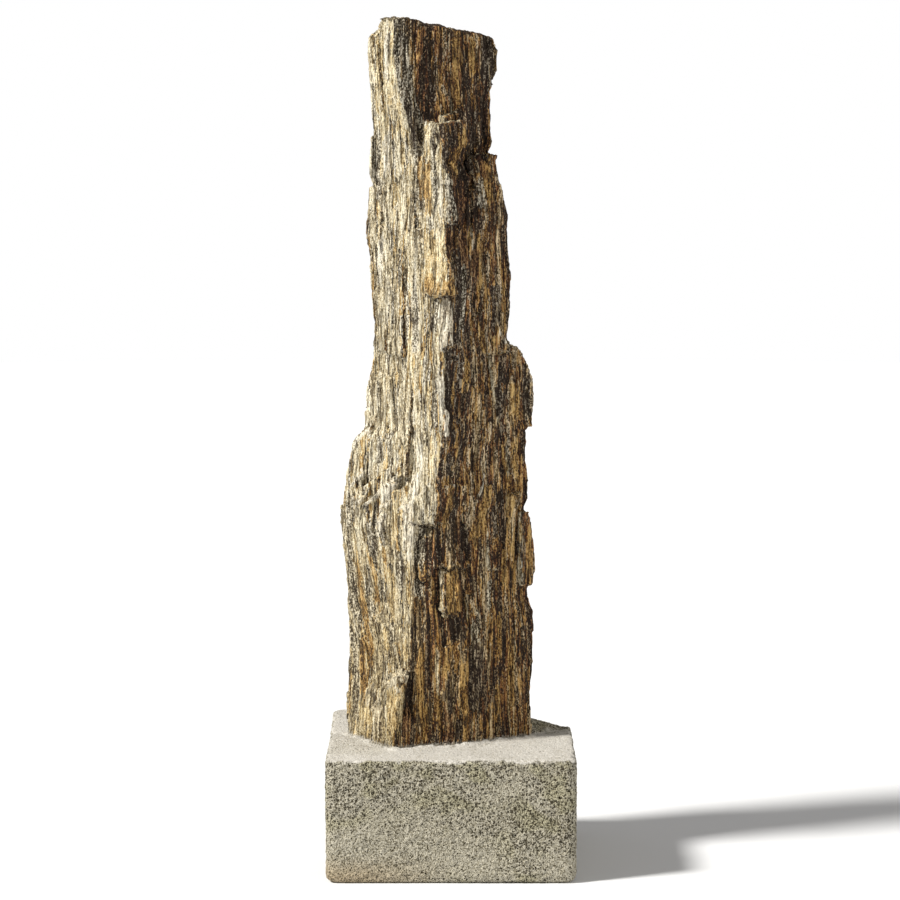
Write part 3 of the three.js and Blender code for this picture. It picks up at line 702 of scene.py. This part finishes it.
def gneiss_finish():
    """Layers of feldspar, speckled grey, ochre, rust and black biotite, all drawn out along the grain, with
    painted shade in the grooves, cracks, hollows and under the ledges, and painted highlights on the crests.
    """
    finish = Finish("gneiss")
    place = finish.place
    z = finish.along("Z")
    drift_x = finish.attribute("drift_x")
    drift_y = finish.attribute("drift_y")
    drift = finish.node("ShaderNodeCombineXYZ", None, {"X": drift_x, "Y": drift_y})
    ripple = finish.noise_vector(place, (5, 5, 14))
    grain = finish.vector("ADD", place, drift)
    grain = finish.vector("ADD", grain, finish.vector("MULTIPLY", ripple, (2.2, 2.2, 0)))

    relief = finish.attribute("relief")
    stained = finish.attribute("stained")
    split = 1.0 - stained
    head = stained * z.between(680.0, 730.0)
    # Fibres lie side by side, each with a tone of its own, and the thin gaps between them are darkened as
    # painted shade, more so on the stained side.
    fibre = finish.layers(grain, FIBRE)
    thread = finish.layers(grain, THREAD)
    gap = finish.cracks(grain, FIBRE).between(0.20, 0.04)
    streaks = finish.noise(grain, (2.6, 2.6, 36), 2.0, 0.65)
    grit = finish.noise(place, (1.5, 1.5, 2.2), 1.0, 0.65)
    hairs = finish.noise(grain, (1.4, 1.4, 24), 1.0, 0.6)
    tone = 0.74 - 0.07 * stained + 0.32 * (fibre - 0.5) + 0.45 * (thread - 0.5) + 0.9 * (streaks - 0.5)
    # Painted shade: the tone falls in the grooves, more so on the stained side.
    tone = tone + (0.7 + 1.3 * stained) * (hairs - 0.5) + (0.35 + 0.45 * stained) * (relief - 0.4)
    tone = tone - (0.24 + 0.22 * stained) * gap
    # The cream attribute carries the cream layers and the painted highlight on the crests.
    tone = tone + 0.20 * finish.attribute("cream") + 0.08 * finish.attribute("straw")
    # Painted shade: the black strips, partly in hollows, and the painted shadow under the overhangs are
    # darkened further.
    tone = tone + 0.12 * finish.attribute("ochre") * (stained - 0.2) - 0.14 * finish.attribute("black")
    # The split side is darker low down, and the stained side paler in the middle and at the foot.
    darker = 0.06 * z.between(430.0, 360.0) + 0.09 * z.between(280.0, 220.0)
    middle = z.between(430.0, 460.0) * z.between(600.0, 560.0)
    paler = 0.08 * middle + 0.04 * z.between(250.0, 210.0)
    tone = tone - 0.05 * head - darker * split + paler * stained
    speckled = tone + (2.9 + 1.5 * stained) * (grit - 0.5)
    plain = tone + (1.7 + 0.9 * stained) * (grit - 0.5)

    # Which mineral a layer is: broad layers decide, and thin threads of other layers run through them. The
    # stained head has hardly any pale layers. Grooves take the darker minerals as painted shade, most of all
    # on the stained side.
    broad = finish.layers(grain, BROAD_LAYER)
    thin = finish.layers(grain, THIN_LAYER)
    kind = 0.56 * broad + 0.44 * thin + (0.22 + 0.30 * stained) * (0.42 - relief)
    kind = kind - 0.16 * z.between(600.0, 780.0) * split
    kind = kind + head * (0.57 + 0.8 * (kind - 0.5) - kind)

    def lay(colour, mineral, cover):
        shade = speckled if mineral in SPECKLED else plain
        return finish.mix(cover, colour, finish.ramp(shade, MINERALS[mineral]))

    def above(split_limit, stained_limit):
        """Where the layer's kind is above a limit that differs between the split and the stained side."""
        return (kind - (split_limit + (stained_limit - split_limit) * stained)).between(-0.004, 0.004)

    colour = finish.ramp(plain, MINERALS["feldspar"])
    colour = lay(colour, "grey", above(0.57, 0.26))
    colour = lay(colour, "straw", above(0.69, 0.95) * (1.0 - 0.6 * stained))
    colour = lay(colour, "ochre", above(0.80, 0.41))
    colour = lay(colour, "rust", above(0.93, 0.54))
    colour = lay(colour, "black", above(0.91, 0.67))
    # Weather has browned the stained side, and soil the foot of the stone.
    colour = finish.tint(0.6 * stained, colour, STAIN)
    ragged = 0.62 + 0.5 * (thin - 0.5) + (streaks - 0.5)
    for mineral in STRIPS:
        cover = (finish.attribute(mineral) * ragged).between(0.36, 0.44)
        colour = lay(colour, mineral, cover * 0.9)
    colour = finish.tint(finish.attribute("ochre") * (0.3 + 0.4 * stained), colour, GOLDEN)
    colour = finish.tint(z.between(420.0, 180.0), colour, SOIL)
    # Fine cracks part the fibres here and there, painted dark as the shade in them, and mortar dust clings
    # to the lower end.
    crack = finish.cracks(grain, (7.5, 7.5, 90)).between(0.10, 0.03) * streaks.between(0.58, 0.44)
    colour = finish.mix(crack * 0.7, colour, (*CRACK_SHADE, 1.0))
    clinging = 0.8 * grit + 0.2 * streaks + 0.3 * z.between(131.0, 125.0)
    dusty = z.between(142.0, 123.0) * clinging.between(0.56, 0.70)
    colour = finish.mix(dusty * 0.8, colour, (*MORTAR_DUST, 1.0))
    finish.feed(finish.shader.inputs["Base Color"], colour)

    glint = finish.noise(place, (1.6, 1.6, 2.4), 0.0)
    finish.feed(finish.shader.inputs["Roughness"], 0.85 - 0.4 * glint.between(0.62, 0.70))
    finish.shader.inputs["Specular IOR Level"].default_value = 0.4
    height = 0.5 * streaks + 0.25 * thread + 0.25 * fibre + 0.8 * grit - 0.35 * gap - 0.3 * crack
    finish.bump(height, 2.6 * MM)
    return finish.material


CONCRETE_DARK = (0.085, 0.070, 0.040)
CONCRETE_MID = (0.395, 0.363, 0.272)
CONCRETE_LIGHT = (0.60, 0.565, 0.46)
TROWELLED = (0.60, 0.58, 0.545)
TROWELLED_PALE = (0.69, 0.67, 0.62)
PORE_SHADE_AND_CRUMB = (0.047, 0.036, 0.018)
MOSS_TINT = (0.82, 0.82, 0.60)
SOIL_TINT = (0.88, 0.70, 0.50)
# How far apart the pores and the crumbs lie.
FINE_PORES = 2.3
COARSE_PORES = 3.6
CRUMBS = 3.6


def concrete_finish():
    """Porous cast concrete: sandy sides with pores painted dark as the shade in them, faint green and brown
    stains, and a pale top.
    """
    finish = Finish("concrete")
    place = finish.place
    x = finish.along("X")
    z = finish.along("Z")
    sand = finish.noise(place, (1.5, 1.5, 1.5), 1.0, 0.6)
    lumps = finish.noise(place, (5, 5, 5), 2.0, 0.6)
    clouds = finish.noise(place, (38, 38, 38), 2.0, 0.5)
    pits = finish.attribute("pits")
    trowelled = finish.attribute("trowelled")
    crowded = finish.attribute("crowded") + 0.4 * (lumps - 0.5)

    def pores(spacing, few, many):
        """Round pores, painted dark as the shade in them, at a share of the points with the given spacing,
        more where they are crowded.
        """
        distance, number = finish.specks(place, spacing)
        there = (number - (1.0 - few - (many - few) * crowded)).between(-0.02, 0.02)
        return there * (distance + 0.2 * (number - 0.5)).between(0.46, 0.34)

    pore = pores(FINE_PORES, 0.12, 0.68).math("MAXIMUM", pores(COARSE_PORES, 0.06, 0.28))
    # Painted shade: the sides are darker where the pits are deep.
    tone = 0.67 + 3.3 * (sand - 0.5) + 0.3 * (lumps - 0.5) + 0.4 * (clouds - 0.5) - 0.18 * pits
    side = finish.ramp(tone, [(0.05, CONCRETE_DARK), (0.5, CONCRETE_MID), (0.95, CONCRETE_LIGHT)])
    green = finish.noise(place, (30, 30, 24), 1.0).between(0.46, 0.62)
    side = finish.tint(green * crowded * 0.5, side, MOSS_TINT)
    soiled = z.between(34.0, 4.0) * x.between(20.0, -110.0)
    side = finish.tint(soiled * 0.6, side, SOIL_TINT)
    pale_tone = 0.8 + 1.5 * (sand - 0.5) + 0.4 * (lumps - 0.5) + 0.35 * (clouds - 0.5)
    pale = finish.ramp(pale_tone, [(0.3, CONCRETE_MID), (0.8, TROWELLED), (1.0, TROWELLED_PALE)])
    colour = finish.mix(trowelled, side, pale)
    # Painted shade: the pores are coloured nearly black, less on the trowelled top.
    shade = pore * (1.0 - 0.9 * trowelled)
    # A few dark crumbs lie on the trowelled top.
    distance, number = finish.specks(place, CRUMBS)
    crumb = distance.between(0.26, 0.18) * (number - 0.74).between(0.0, 0.02) * trowelled
    colour = finish.mix((shade * 0.92).math("MAXIMUM", crumb * 0.8), colour, (*PORE_SHADE_AND_CRUMB, 1.0))
    finish.feed(finish.shader.inputs["Base Color"], colour)
    finish.shader.inputs["Roughness"].default_value = 0.92
    finish.shader.inputs["Specular IOR Level"].default_value = 0.25
    finish.bump((sand + 0.5 * lumps - shade) * (1.0 - 0.7 * trowelled), 4.0 * MM)
    return finish.material


# ------------------------------------------------------------------ dressing the object


def dress(piece, node, material):
    """Gives the piece its finish and lets it stand for its CAD node."""
    piece.data.materials.clear()
    piece.data.materials.append(material)
    piece.data.polygons.foreach_set("use_smooth", [True] * len(piece.data.polygons))
    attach(piece, "root")
    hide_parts(node)


dress(split_stone(), "gneiss_pillar", gneiss_finish())
dress(cast_block(), "concrete_foot", concrete_finish())


# ------------------------------------------------------------------ the studio


FLOOR_RADIUS = 6.0
FLOOR_COLOUR = (0.88, 0.90, 0.94, 1)


def pale_floor():
    bm = bmesh.new()
    bmesh.ops.create_circle(bm, cap_ends=True, segments=96, radius=FLOOR_RADIUS)
    mesh = bpy.data.meshes.new("floor")
    bm.to_mesh(mesh)
    bm.free()
    floor = bpy.data.objects.new("floor", mesh)
    bpy.context.scene.collection.objects.link(floor)
    material = bpy.data.materials.new("floor")
    material.use_nodes = True
    shader = material.node_tree.nodes["Principled BSDF"]
    shader.inputs["Base Color"].default_value = FLOOR_COLOUR
    shader.inputs["Roughness"].default_value = 0.9
    shader.inputs["Specular IOR Level"].default_value = 0.1
    mesh.materials.append(material)


def soft_sun(name, azimuth, elevation, strength, spread, colour):
    """A broad, even light, as from a large window. The azimuth is counted to the left from the front."""
    data = bpy.data.lights.new(name, "SUN")
    data.angle = math.radians(spread)
    data.energy = strength
    data.color = colour
    light = bpy.data.objects.new(name, data)
    bpy.context.scene.collection.objects.link(light)
    across = math.cos(math.radians(elevation))
    towards = Vector((
        -across * math.sin(math.radians(azimuth)),
        -across * math.cos(math.radians(azimuth)),
        math.sin(math.radians(elevation)),
    ))
    light.rotation_euler = towards.to_track_quat("Z", "Y").to_euler()


def pale_world():
    """A white room that sheds only a weak light of its own."""
    world = bpy.data.worlds.new("studio")
    world.use_nodes = True
    nodes = world.node_tree.nodes
    links = world.node_tree.links
    weak = nodes["Background"]
    weak.inputs["Color"].default_value = (1.0, 0.98, 0.95, 1)
    weak.inputs["Strength"].default_value = 0.25
    white = nodes.new("ShaderNodeBackground")
    white.inputs["Color"].default_value = (1.0, 1.0, 1.0, 1)
    white.inputs["Strength"].default_value = 1.0
    seen = nodes.new("ShaderNodeLightPath")
    either = nodes.new("ShaderNodeMixShader")
    links.new(seen.outputs["Is Camera Ray"], either.inputs[0])
    links.new(weak.outputs[0], either.inputs[1])
    links.new(white.outputs[0], either.inputs[2])
    links.new(either.outputs[0], nodes["World Output"].inputs["Surface"])
    bpy.context.scene.world = world


CAMERA_PLACE = (-0.001, -3.2175, 0.790)
CAMERA_TILT = 6.53  # degrees below level
CAMERA_LENS = 127.28  # mm
SENSOR_WIDTH = 36  # mm


def camera():
    data = bpy.data.cameras.new("camera")
    data.sensor_width = SENSOR_WIDTH
    data.lens = CAMERA_LENS
    eye = bpy.data.objects.new("camera", data)
    eye.location = CAMERA_PLACE
    eye.rotation_euler = (math.radians(90 - CAMERA_TILT), 0, 0)
    bpy.context.scene.collection.objects.link(eye)
    bpy.context.scene.camera = eye


pale_floor()
pale_world()
soft_sun("key", azimuth=68, elevation=42, strength=4.4, spread=9, colour=(1.0, 0.965, 0.90))
soft_sun("fill", azimuth=-62, elevation=28, strength=0.62, spread=40, colour=(1.0, 0.94, 0.84))
camera()
bpy.context.scene.view_settings.view_transform = "Standard"
